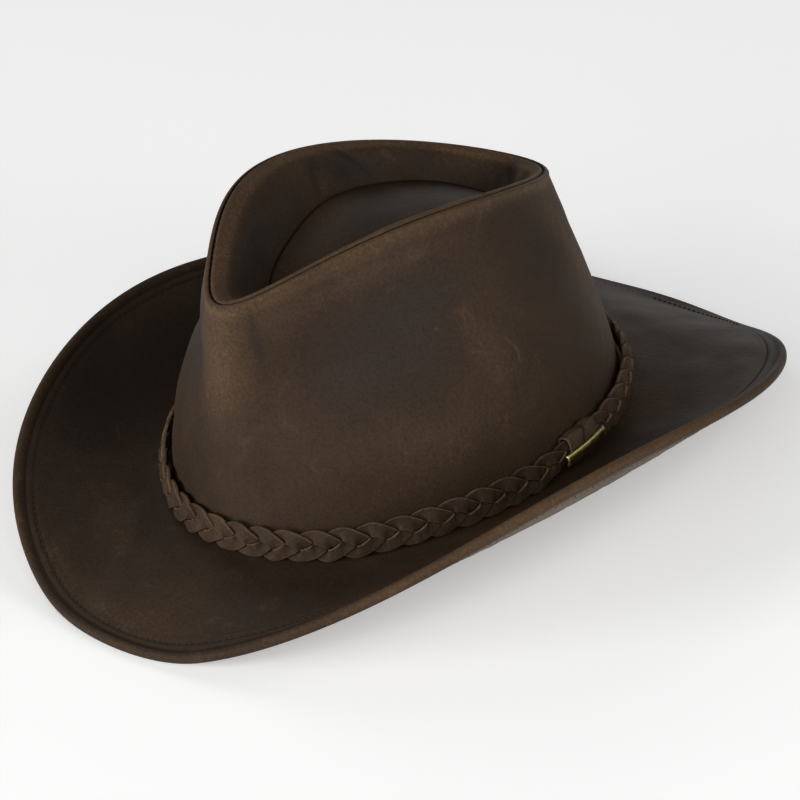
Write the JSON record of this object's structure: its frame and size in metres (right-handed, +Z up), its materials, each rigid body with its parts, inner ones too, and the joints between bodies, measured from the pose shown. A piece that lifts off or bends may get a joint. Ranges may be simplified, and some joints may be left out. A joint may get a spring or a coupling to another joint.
{
  "type": "leather cowboy hat",
  "caption": "Leather cowboy hat with a creased, sunk crown, a wired brim curled up at the sides, and a braided leather band closed by a keeper with a small bare brass bar",
  "frame": {"origin": "Middle of the hat's footprint, on the surface that it rests on", "axes": "-Y is the front of the hat, +Y the back, +X the wearer's left, +Z up"},
  "size_m": [0.2832, 0.3504, 0.137],
  "materials": {
    "hide": "dark brown oiled pull-up leather, satin, lighter where it bends and along the edges",
    "hide_underside": "flesh side of the same leather, golden brown, rougher and matt",
    "thong": "cut leather thongs, brown, satin, with lighter cut edges",
    "brass": "aged olive brass, satin, bare of lettering"
  },
  "bodies": {
    "root": {"crown_side": "hide", "crown_well": "hide", "crown_tip": "hide", "brim_upper": "hide", "brim_lower": "hide_underside", "strand_a": "thong", "strand_b": "thong", "strand_c": "thong", "keeper": "thong", "brass_bar": "brass"}
  },
  "joints": []
}
